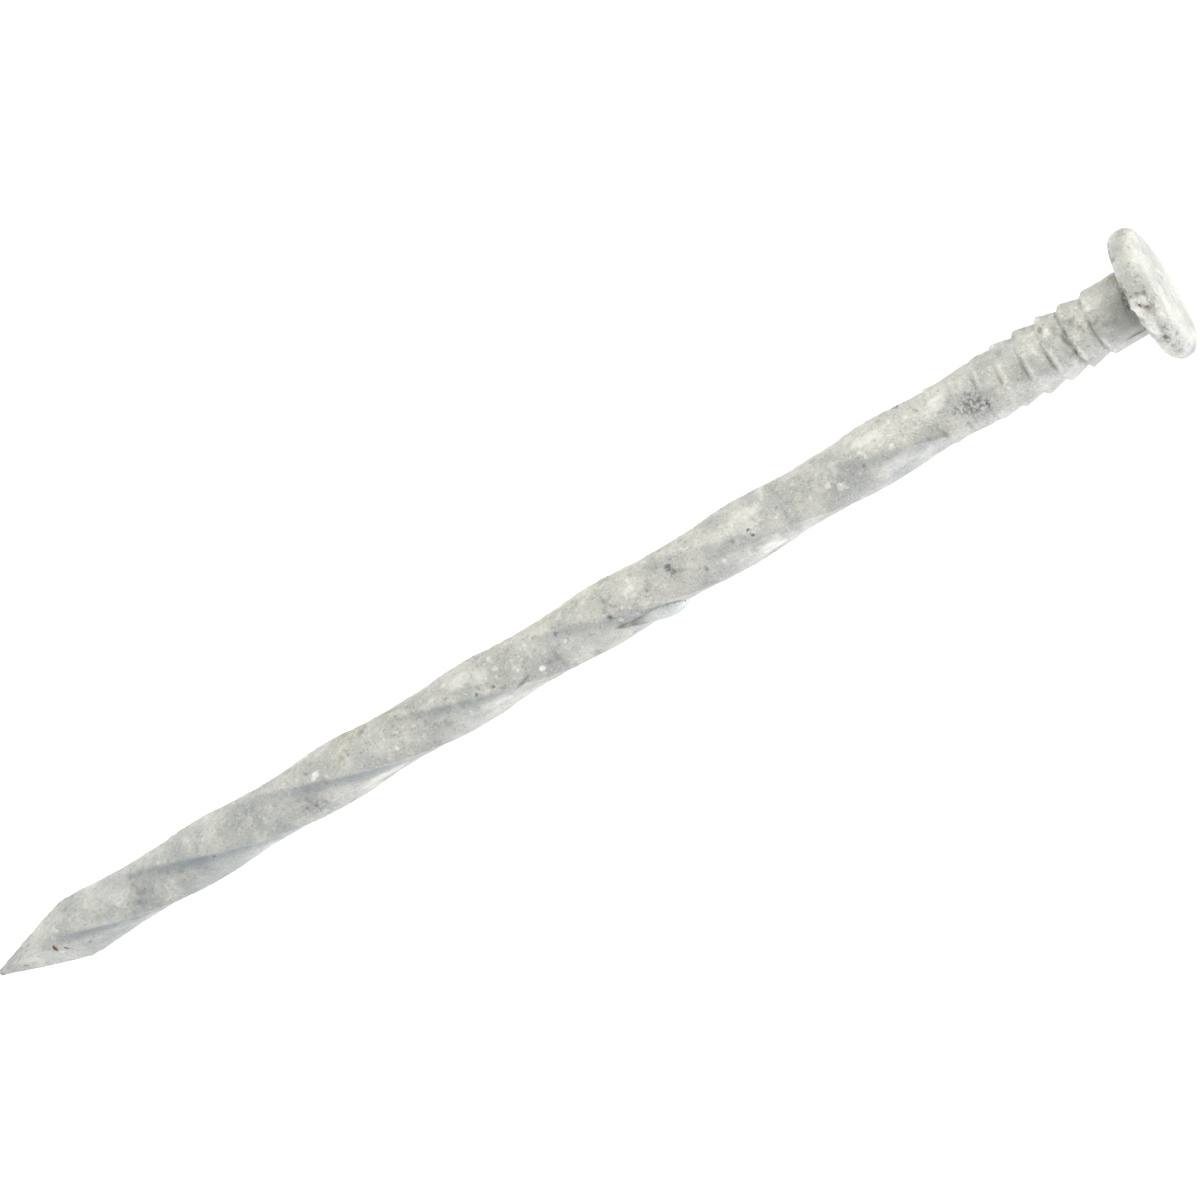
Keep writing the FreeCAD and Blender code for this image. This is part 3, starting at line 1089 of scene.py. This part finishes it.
# Pimples and pits that stand out on the side with the run; strength is the height in mm.
NOTED_MARKS: tuple[Spot, ...] = (
    Spot(-53.1, -107.0, 0.22, 0.18, 0.10),
    Spot(-53.3, -101.0, 0.12, 0.14, 0.06),
    Spot(-52.9, -113.0, 0.14, 0.10, 0.06),
    Spot(-53.6, -121.0, 0.12, 0.12, -0.07),
    Spot(-50.8, -112.0, 0.13, 0.13, -0.06),
    Spot(-63.8, -116.0, 0.12, 0.15, 0.07),
    Spot(-60.7, -73.0, 0.10, 0.10, -0.08),
    Spot(-48.1, -73.0, 0.12, 0.14, 0.09),
    Spot(-42.5, -84.0, 0.12, 0.12, -0.07),
    Spot(-41.4, -81.0, 0.10, 0.10, -0.07),
    Spot(-38.5, -63.5, 0.22, 0.20, 0.10),
    Spot(-36.8, -107.0, 0.14, 0.12, -0.08),
    Spot(-36.5, -86.0, 0.13, 0.13, 0.08),
    Spot(-33.6, -81.0, 0.12, 0.14, -0.08),
    Spot(-33.2, -68.0, 0.16, 0.16, 0.09),
    Spot(-29.4, -107.0, 0.16, 0.13, -0.09),
    Spot(-29.2, -95.0, 0.10, 0.14, -0.07),
    Spot(-24.4, -90.0, 0.12, 0.12, -0.08),
    Spot(-24.3, -79.0, 0.10, 0.11, -0.08),
    Spot(-19.4, -86.0, 0.18, 0.16, 0.09),
    Spot(-17.1, -83.0, 0.12, 0.12, -0.08),
    Spot(-14.1, -160.0, 0.15, 0.15, -0.06),
    Spot(-4.9, -122.0, 0.24, 0.24, 0.15),
    Spot(-5.2, -133.0, 0.12, 0.18, -0.07),
    Spot(0.35, -88.0, 0.42, 0.45, 0.12),
    Spot(0.9, -83.0, 0.22, 0.25, 0.07),
    Spot(0.55, -85.0, 0.12, 0.14, -0.12),
    Spot(0.85, -81.5, 0.10, 0.12, -0.10),
    Spot(0.55, -74.0, 0.25, 0.40, 0.09),
    Spot(0.75, -53.0, 0.14, 0.14, -0.08),
    Spot(1.3, -47.0, 0.14, 0.16, -0.08),
    Spot(0.5, -62.0, 0.20, 0.30, 0.08),
)


# Places where the zinc froze in a crust of small lumps.
CRUSTS: tuple[Spot, ...] = (
    Spot(0.5, -84.0, 0.9, 1.0, 1.6),
    Spot(0.5, -58.0, 0.8, 1.2, 0.9),
    Spot(0.6, -35.0, 0.9, 1.0, 0.6),
    Spot(-53.1, -107.0, 0.4, 0.35, 0.6),
    Spot(-4.9, -118.0, 0.7, 0.8, 0.5),
    Spot(-33.4, -72.0, 0.6, 0.5, 0.6),
    Spot(-24.2, -95.0, 1.0, 0.6, 0.3),
)


# Places where the skin wrinkled as it froze.
WRINKLES: tuple[Spot, ...] = (
    Spot(-58.0, -90.0, 2.6, 1.1, 1.0),
    Spot(-54.6, -100.0, 1.2, 0.8, 0.7),
    Spot(-47.5, -118.0, 2.5, 0.7, 0.6),
    Spot(-21.3, -100.0, 1.8, 0.9, 1.0),
    Spot(-17.0, -78.0, 1.6, 0.9, 0.7),
    Spot(-11.0, -70.0, 1.8, 0.8, 0.7),
    Spot(-34.0, -130.0, 2.4, 0.8, 0.5),
)


# Stains, painted shade and painted highlights on the skin in places: each value is strongest in the middle of
# its spots.
STAINS_AND_PAINTED_LIGHT: dict[PaintedValue, tuple[Spot, ...]] = {
    # Soot patches, darker pits, and painted shade on the neck under the head.
    PaintedValue.SOOT_AND_SHADE: (
        Spot(-10.2, -78.0, 1.0, 0.85, 0.75),
        Spot(-9.65, -66.0, 0.32, 0.35, 1.0),
        Spot(-11.1, -84.0, 0.5, 0.3, 0.6),
        Spot(-54.1, -50.0, 1.2, 0.6, 0.38),
        Spot(-60.7, -73.0, 0.14, 0.12, 0.9),
        Spot(-42.5, -84.0, 0.16, 0.12, 0.8),
        Spot(-41.4, -81.0, 0.12, 0.1, 0.8),
        Spot(-36.8, -107.0, 0.2, 0.14, 0.8),
        Spot(-33.7, -81.0, 0.4, 0.2, 0.8),
        Spot(-29.4, -106.0, 0.25, 0.3, 1.0),
        Spot(-29.4, -91.0, 0.12, 0.14, 0.8),
        Spot(-24.4, -90.0, 0.16, 0.12, 1.0),
        Spot(-24.3, -79.0, 0.16, 0.12, 1.0),
        Spot(-14.1, -160.0, 0.3, 0.2, 0.8),
        Spot(-0.25, -95.0, 0.3, 0.9, 0.8),
        Spot(0.65, -50.0, 0.35, 0.4, 0.7),
    ),
    # Painted shade around the run, under the head and in one streak lower down.
    PaintedValue.CORNER_SHADE: (
        Spot(-33.05, -46.0, 0.85, 0.26, 1.6, 0.35),
        Spot(-39.9, -60.0, 0.7, 0.14, 1.0, -0.3),
        Spot(-0.85, -37.0, 0.75, 0.10, 1.2),
        Spot(-28.9, -91.0, 0.5, 0.16, 0.6, 0.4),
    ),
    PaintedValue.RUST: (
        Spot(-71.9, -76.0, 0.16, 0.34, 1.0),
        Spot(-71.25, -62.0, 0.30, 0.16, 0.9, 1.2),
        Spot(-71.02, -35.0, 0.10, 0.45, 0.72),
        Spot(-5.46, -79.0, 0.07, 0.40, 0.8),
        Spot(-4.06, -62.0, 0.07, 0.36, 0.75),
        Spot(-2.70, -43.0, 0.07, 0.26, 0.7),
        Spot(0.55, -85.0, 0.13, 0.13, 1.0),
        Spot(0.85, -81.5, 0.11, 0.13, 0.9),
    ),
    PaintedValue.WARM: (
        Spot(-50.7, -131.0, 1.4, 0.50, 0.85, -0.86),
        Spot(-50.5, -152.0, 2.0, 0.7, 0.75),
        Spot(-51.4, -107.0, 0.6, 0.35, 0.4),
        Spot(-73.1, -72.0, 0.22, 0.18, 1.0),
        Spot(-74.4, -97.0, 0.2, 0.12, 0.8),
        Spot(-73.7, -107.0, 0.25, 0.2, 0.6),
        Spot(-48.0, -150.0, 2.5, 0.6, 0.35),
        Spot(-38.0, -155.0, 6.0, 0.5, 0.35),
        Spot(-57.0, -155.0, 3.0, 0.5, 0.3),
        Spot(-0.6, -150.0, 0.6, 0.6, 0.8),
        Spot(-0.05, -98.0, 0.3, 0.9, 1.0),
        Spot(0.6, -87.0, 0.28, 0.25, 1.0),
        Spot(1.05, -80.0, 0.2, 0.25, 1.0),
    ),
    # Painted highlights on lumps, along the flats and on the head's crust.
    PaintedValue.PAINTED_HIGHLIGHT: (
        Spot(-53.1, -107.0, 0.32, 0.30, 1.1),
        Spot(-63.8, -116.0, 0.12, 0.2, 0.4),
        Spot(-48.1, -73.0, 0.12, 0.12, 0.5),
        Spot(-38.5, -63.5, 0.2, 0.16, 0.5),
        Spot(-43.1, -128.0, 1.0, 0.60, 0.55),
        Spot(-42.1, -114.0, 0.9, 0.50, 0.50),
        Spot(-41.2, -50.0, 1.8, 0.40, 0.55),
        Spot(-49.8, -28.0, 1.8, 0.40, 0.5),
        Spot(-16.3, -127.0, 1.3, 0.5, 0.4),
        Spot(-15.5, -56.0, 1.6, 0.6, 0.35),
        Spot(-24.2, -122.0, 1.2, 0.4, 0.35),
        Spot(-23.9, -28.0, 0.9, 0.6, 0.7),
        Spot(-12.0, -115.0, 0.7, 0.5, 0.5),
        Spot(-4.8, -121.0, 0.16, 0.16, 0.6),
        Spot(-33.2, -66.0, 0.2, 0.2, 0.6),
        Spot(0.35, -80.0, 0.35, 0.45, 1.0),
        Spot(0.75, -89.0, 0.3, 0.3, 0.8),
        Spot(0.5, -64.0, 0.35, 0.5, 0.7),
    ),
}


@dataclass
class ZincRun:
    """Frozen run of zinc on one flat, round at the head end and thin at the tail.

    Sizes are in mm and degrees, over the skin. The reach is the run's usual distance
    from the nail's axis. The nose share is the rounded end's part of the length, and
    the slip is how far the run slid off the flat's middle.
    """

    skin: ZincSkin
    nose_level: float = -29.55
    length: float = 4.1
    flat: int = 3
    width: float = 0.78
    height: float = 0.40
    sunk: float = 0.08
    reach: float = 1.8
    nose_share: float = 0.32
    slip: float = -11.0
    lump_size: float = 0.7
    lump_height: float = 0.035
    ripple_size: float = 0.3
    ripple_height: float = 0.012
    tail_power: float = 0.8
    shaded_tail: tuple[float, float] = (0.4, 0.75)
    specked_nose: tuple[float, float] = (0.18, 0.05)
    rows: int = 56
    columns: int = 36

    def girth(self, share: np.ndarray) -> np.ndarray:
        """Share of the full width at each share of the length from the nose.

        Args:
            share: distances from the nose, as shares of the length.

        Returns:
            The shares of the width.
        """
        nose = np.sqrt(np.maximum(0.0, 1 - (1 - np.minimum(share / self.nose_share, 1.0)) ** 2))
        tail = np.clip((1 - share) / (1 - self.nose_share), 0.0, 1.0) ** self.tail_power
        return nose * np.minimum(tail, 1.0)

    def build(self) -> bpy.types.Object:
        """Make the run as a lofted drop that sinks into the skin.

        Returns:
            The run's object.
        """
        turns = np.arange(self.columns) * 2 * math.pi / self.columns
        share, around = np.meshgrid(np.linspace(0, 1, self.rows), turns)
        share, around = share.T, around.T
        girth = self.girth(share)
        level = self.nose_level - share * self.length
        turn = np.radians(self.skin.turn(level) + 90.0 * self.flat + self.slip)
        seat = self.skin.shank.wire.half - self.sunk
        out = seat + (self.height + self.sunk) * girth * np.sin(around)
        side = self.width * girth * np.cos(around)
        spread = [out * np.cos(turn) - side * np.sin(turn), out * np.sin(turn) + side * np.cos(turn), level]
        grid = np.stack(spread, axis=-1).reshape(-1, 3)
        uneven = rough(grid, self.lump_size, 5.0) * self.lump_height
        uneven = uneven + rough(grid, self.ripple_size, 9.0) * self.ripple_height
        grid[:, :2] *= 1 + (uneven / self.reach)[:, None]
        piece = new_object("zinc_run_drop", grid, tube_faces(self.rows, self.columns, downward=True))
        share = share.reshape(-1)
        # The run's tail gets painted shade, and its nose dark specks.
        tail = smooth_step(*self.shaded_tail, share) * (1.2 + 0.5 * rough(grid, 0.4, 2.0))
        nose = smooth_step(*self.specked_nose, share) * smooth_step(0.1, 0.35, rough(grid, 0.3, 2.0))
        paint(piece, PaintedValue.CORNER_SHADE, tail)
        paint(piece, PaintedValue.SOOT_AND_SHADE, 1.4 * nose)
        return piece

    def dress(self, piece: bpy.types.Object) -> None:
        """Give the run its smoother zinc and hang it on the frame.

        Args:
            piece: the run's object.
        """
        # Spare zinc that froze last is smoother and brighter than the drained skin.
        tones = {"light": "#D2D6D8", "cool": "#B2B8BC"}
        finish = ZincFinish("hot_dip_zinc_run", roughness=0.42, mottle=0.8, **tones)
        piece.data.materials.append(finish.make())
        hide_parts("zinc_run")
        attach(piece, "root")


# Each grain's distance down the nail as a share of its length, and its flat.
GRAINS: tuple[tuple[float, int], ...] = (
    (0.205, 2),
    (0.247, 1),
    (0.338, 0),
    (0.446, 0),
    (0.521, 1),
    (0.604, 2),
    (0.733, 3),
    (0.826, 0),
)


@dataclass
class DrossGrains:
    """Small uneven grains of dross frozen on the skin, in mm."""

    skin: ZincSkin
    radius: float = 0.22
    sunk: float = 0.05
    uneven_size: float = 0.2
    uneven_share: float = 0.18

    def build(self) -> bpy.types.Object:
        """Make every grain as one uneven lump.

        Returns:
            The grains' object.
        """
        low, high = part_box("dross_pimples")
        log.info("grains lie between levels %.1f and %.1f", low[2] / MM, high[2] / MM)
        mesh = bmesh.new()
        reach = self.skin.shank.wire.half - self.sunk
        for share, flat in GRAINS:
            level = -share * self.skin.shank.length
            bearing = math.radians(float(self.skin.turn(np.array(level))) + 90 * flat)
            centre = Vector((reach * math.cos(bearing), reach * math.sin(bearing), level))
            made = bmesh.ops.create_icosphere(mesh, subdivisions=3, radius=self.radius)
            for vert in made["verts"]:
                swell = 1 + self.uneven_share * noise.noise(vert.co / self.uneven_size + centre)
                vert.co = vert.co * swell + centre
        verts = np.array([v.co[:] for v in mesh.verts])
        mesh.verts.index_update()
        faces = [tuple(v.index for v in f.verts) for f in mesh.faces]
        mesh.free()
        return new_object("dross_lumps", verts, faces)

    def dress(self, piece: bpy.types.Object) -> None:
        """Give the grains their paler zinc and hang them on the frame.

        Args:
            piece: the grains' object.
        """
        # Zinc-iron grains keep a paler, even skin, so they stand out as small dots.
        finish = ZincFinish("zinc_dross", light="#E6E7E4", cool="#C6C9C8", painted=False, mottle=0.2)
        piece.data.materials.append(finish.make())
        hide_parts("dross_pimples")
        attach(piece, "root")


@dataclass
class SteelCore:
    """The steel under the zinc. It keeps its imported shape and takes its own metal."""

    def dress(self) -> None:
        """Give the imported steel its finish."""
        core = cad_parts["steel_nail"]
        steel = SteelFinish().make()
        core.data.materials.clear()
        core.data.materials.append(steel)
        log.info("steel_nail: dressed")


# ------------------------------------------------------------------- the studio


@dataclass(frozen=True)
class Lamp:
    """One soft rectangular lamp aimed at the middle of the nail, in metres and watts."""

    name: str
    toward: tuple[float, float, float]
    distance: float
    width: float
    height: float
    power: float
    tone: str = "#FFFFFF"


@dataclass
class Studio:
    """Pale floor, soft light and the camera.

    The camera's distance and shifts are in mm, its elevation and the nail's slant
    across the frame in degrees. The card's half side and the clip range are in metres.
    """

    nail_length: float = ShankSizes.length
    distance: float = 280.0
    elevation: float = 17.0
    shift_along: float = 3.83
    shift_across: float = -0.856
    slant: float = 30.64
    lens: float = 152.0
    sensor: float = 36.0
    clip: tuple[float, float] = (0.01, 50.0)
    card_half: float = 4.0
    world_tone: str = "#FFFFFF"
    world_power: float = 0.11
    lamps: tuple[Lamp, ...] = (
        Lamp("upper_softbox", (-1.0, -0.55, 1.0), 0.24, 0.14, 0.14, 0.53, "#FFFDF2"),
        Lamp("overhead_softbox", (0.0, 0.45, 1.0), 0.9, 1.6, 1.6, 12.0, "#FFFEFB"),
        Lamp("lower_bounce", (1.0, 0.3, 0.5), 0.2, 0.15, 0.15, 0.25, "#F9FBFF"),
        Lamp("head_fill", (0.5, -0.6, 0.9), 0.14, 0.07, 0.07, 0.064, "#FFFEFC"),
        Lamp("backdrop_light", (0.0, 1.0, 0.9), 0.75, 0.8, 0.8, 1.8, "#FFFEFB"),
    )

    def middle(self) -> Vector:
        """Middle of the nail's length, in metres."""
        return Vector((0.0, 0.0, -self.nail_length / 2)) * MM

    def floor(self) -> None:
        """Lay the card that the point stands on."""
        half = self.card_half
        level = -self.nail_length * MM
        corners = [(-half, -half, level), (half, -half, level), (half, half, level), (-half, half, level)]
        mesh = bpy.data.meshes.new("floor")
        mesh.from_pydata(corners, [], [(0, 1, 2, 3)])
        card = bpy.data.objects.new("floor", mesh)
        card.data.materials.append(CardFinish().make())
        bpy.context.scene.collection.objects.link(card)

    def light(self) -> None:
        """Set the room's even light and hang the lamps."""
        world = bpy.data.worlds.new("soft_room")
        world.use_nodes = True
        back = world.node_tree.nodes["Background"]
        back.inputs["Color"].default_value = linear(self.world_tone)
        back.inputs["Strength"].default_value = self.world_power
        bpy.context.scene.world = world
        for lamp in self.lamps:
            data = bpy.data.lights.new(lamp.name, "AREA")
            data.shape = "RECTANGLE"
            data.size, data.size_y = lamp.width, lamp.height
            data.energy = lamp.power
            data.color = linear(lamp.tone)[:3]
            lit = bpy.data.objects.new(lamp.name, data)
            away = Vector(lamp.toward).normalized()
            lit.location = self.middle() + away * lamp.distance
            lit.rotation_mode = "QUATERNION"
            lit.rotation_quaternion = away.to_track_quat("Z", "Y")
            bpy.context.scene.collection.objects.link(lit)
            log.info("%s: %.2f W", lamp.name, lamp.power)

    def camera(self) -> None:
        """Aim the camera so that the nail lies across the frame, head up right."""
        tilt = math.radians(self.elevation)
        right = Vector((1.0, 0.0, 0.0))
        up = Vector((0.0, math.sin(tilt), math.cos(tilt)))
        back = Vector((0.0, -math.cos(tilt), math.sin(tilt)))
        eye = self.middle() + back * self.distance * MM
        target = self.middle() + (up * self.shift_along + right * self.shift_across) * MM
        back = (eye - target).normalized()
        roll = math.radians(90.0 - self.slant)
        top = up * math.cos(roll) - right * math.sin(roll)
        side = top.cross(back).normalized()
        top = back.cross(side).normalized()
        pose = Matrix((side, top, back)).transposed()
        data = bpy.data.cameras.new("camera")
        data.lens = self.lens
        data.sensor_width = self.sensor
        data.clip_start, data.clip_end = self.clip
        eye_object = bpy.data.objects.new("camera", data)
        eye_object.matrix_world = Matrix.Translation(eye) @ pose.to_4x4()
        bpy.context.scene.collection.objects.link(eye_object)
        bpy.context.scene.camera = eye_object

    def build(self) -> None:
        """Put up the whole studio."""
        self.floor()
        self.light()
        self.camera()
        bpy.context.scene.view_settings.view_transform = "Standard"


def main() -> None:
    """Build every piece in order, then the studio."""
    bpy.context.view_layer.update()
    SteelCore().dress()
    skin = ZincSkin()
    for part in (skin, ZincRun(skin), DrossGrains(skin)):
        piece = part.build()
        part.dress(piece)
        log.info("%s: built and dressed", piece.name)
    Studio().build()


if __name__ == "__main__":
    main()
